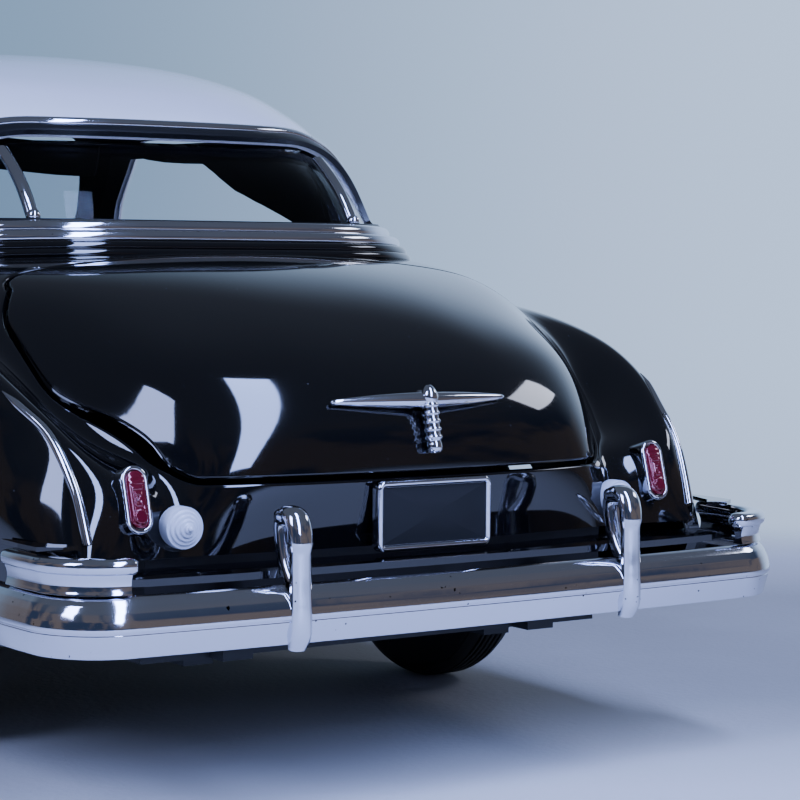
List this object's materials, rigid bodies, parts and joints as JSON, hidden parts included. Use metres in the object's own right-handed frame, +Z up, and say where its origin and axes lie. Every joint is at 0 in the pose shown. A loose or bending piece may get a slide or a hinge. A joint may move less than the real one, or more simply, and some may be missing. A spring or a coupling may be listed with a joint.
{
  "type": "model_car_two_door_hardtop",
  "caption": "Die-cast display model of a 1950 two-door hardtop car, gloss black with a white roof and plated trim, with opening doors, bonnet and boot, steered front wheels and rolling axles",
  "frame": {"origin": "on the ground, midway between the sides and midway between the ends of the bumpers", "axes": "X to the car's right, Y forward, Z up"},
  "size_m": [0.1046, 0.2768, 0.092],
  "materials": {
    "paint": "gloss black enamel",
    "roof_paint": "gloss white enamel with a faint lilac cast",
    "clear": "clear moulded plastic",
    "chrome": "bright plating",
    "red_lens": "clear red moulded plastic",
    "white_lens": "white moulded plastic",
    "interior": "black moulded plastic",
    "seats": "dark moulded plastic",
    "wheel_rim": "cream moulded plastic",
    "chassis": "black moulded plastic",
    "engine": "grey moulded plastic",
    "steel": "bare steel",
    "tyre": "soft black rubber"
  },
  "bodies": {
    "body": {"body_shell": "paint", "roof_shell": "roof_paint", "windscreen": "clear", "rear_window": "clear", "chassis_plate": "chassis", "cabin_tub": "interior", "front_seat": "seats", "rear_seat": "seats", "dashboard": "interior", "steering_wheel": "wheel_rim", "engine_bay": "chassis", "engine_block": "engine", "boot_tray": "chassis", "rear_bumper": "chrome", "rear_guards": "chrome", "rear_end_guards": "chrome", "front_bumper": "chrome", "front_guards": "chrome", "grille": "chrome", "headlamp_rims": "chrome", "headlamp_lenses": "clear", "parking_lamps": "white_lens", "splash_pan": "paint", "plate_frame": "chrome", "tail_lamp_pods": "chrome", "tail_lenses": "red_lens", "reversing_lamps": "white_lens", "wing_strips": "chrome", "belt_moulding": "chrome", "window_bars": "chrome", "hinge_ears": "chassis", "front_beam": "chassis"},
    "bonnet_lid": {"bonnet": "paint", "bonnet_hinge": "steel", "bonnet_ornament": "chrome"},
    "boot": {"boot_lid": "paint", "boot_hinge": "steel", "boot_handle": "chrome"},
    "left_door": {"door_left": "paint", "door_hinges_left": "steel"},
    "right_door": {"door_right": "paint", "door_hinges_right": "steel"},
    "steering_left": {"knuckle_left": "steel"},
    "steering_right": {"knuckle_right": "steel"},
    "steering_link": {"tie_rod": "steel"},
    "front_left_wheel": {"tyre_front_left": "tyre", "wheel_front_left": "chrome"},
    "front_right_wheel": {"tyre_front_right": "tyre", "wheel_front_right": "chrome"},
    "rear_wheelset": {"rear_axle": "steel", "tyres_rear": "tyre", "wheels_rear": "chrome"}
  },
  "joints": [
    {"name": "steer_left", "type": "hinge", "parent": "body", "child": "steering_left", "pos_m": [-0.033, 0.09395, 0.01975], "axis": [0, 0, 1], "range_deg": [-18, 18]},
    {"name": "steer_right", "type": "hinge", "parent": "body", "child": "steering_right", "pos_m": [0.033, 0.09395, 0.01975], "axis": [0, 0, 1], "range_deg": [-18, 18]},
    {"name": "link_slide", "type": "slide", "parent": "body", "child": "steering_link", "axis": [1, 0, 0], "range_m": [-0.00216, 0.00216]},
    {"name": "front_left_spin", "type": "hinge", "parent": "steering_left", "child": "front_left_wheel", "pos_m": [-0.04, 0.09395, 0.01975], "axis": [-1, 0, 0], "continuous": true},
    {"name": "front_right_spin", "type": "hinge", "parent": "steering_right", "child": "front_right_wheel", "pos_m": [0.04, 0.09395, 0.01975], "axis": [-1, 0, 0], "continuous": true},
    {"name": "rear_spin", "type": "hinge", "parent": "body", "child": "rear_wheelset", "pos_m": [0, -0.06835, 0.01975], "axis": [-1, 0, 0], "continuous": true},
    {"name": "left_door_hinge", "type": "hinge", "parent": "body", "child": "left_door", "pos_m": [-0.0473, 0.0474, 0.035], "axis": [0, 0, -1], "range_deg": [0, 60]},
    {"name": "right_door_hinge", "type": "hinge", "parent": "body", "child": "right_door", "pos_m": [0.0473, 0.0474, 0.035], "axis": [0, 0, 1], "range_deg": [0, 60]},
    {"name": "bonnet_hinge_pivot", "type": "hinge", "parent": "body", "child": "bonnet_lid", "pos_m": [0, 0.0483, 0.06203], "axis": [1, 0, 0], "range_deg": [0, 50]},
    {"name": "boot_hinge_pivot", "type": "hinge", "parent": "body", "child": "boot", "pos_m": [0, -0.0821, 0.05972], "axis": [-1, 0, 0], "range_deg": [0, 50]}
  ],
  "couplings": [
    {"joint": "steer_right", "follows": "steer_left", "ratio": 1},
    {"joint": "link_slide", "follows": "steer_left", "m_per_rad": 0.006887}
  ]
}
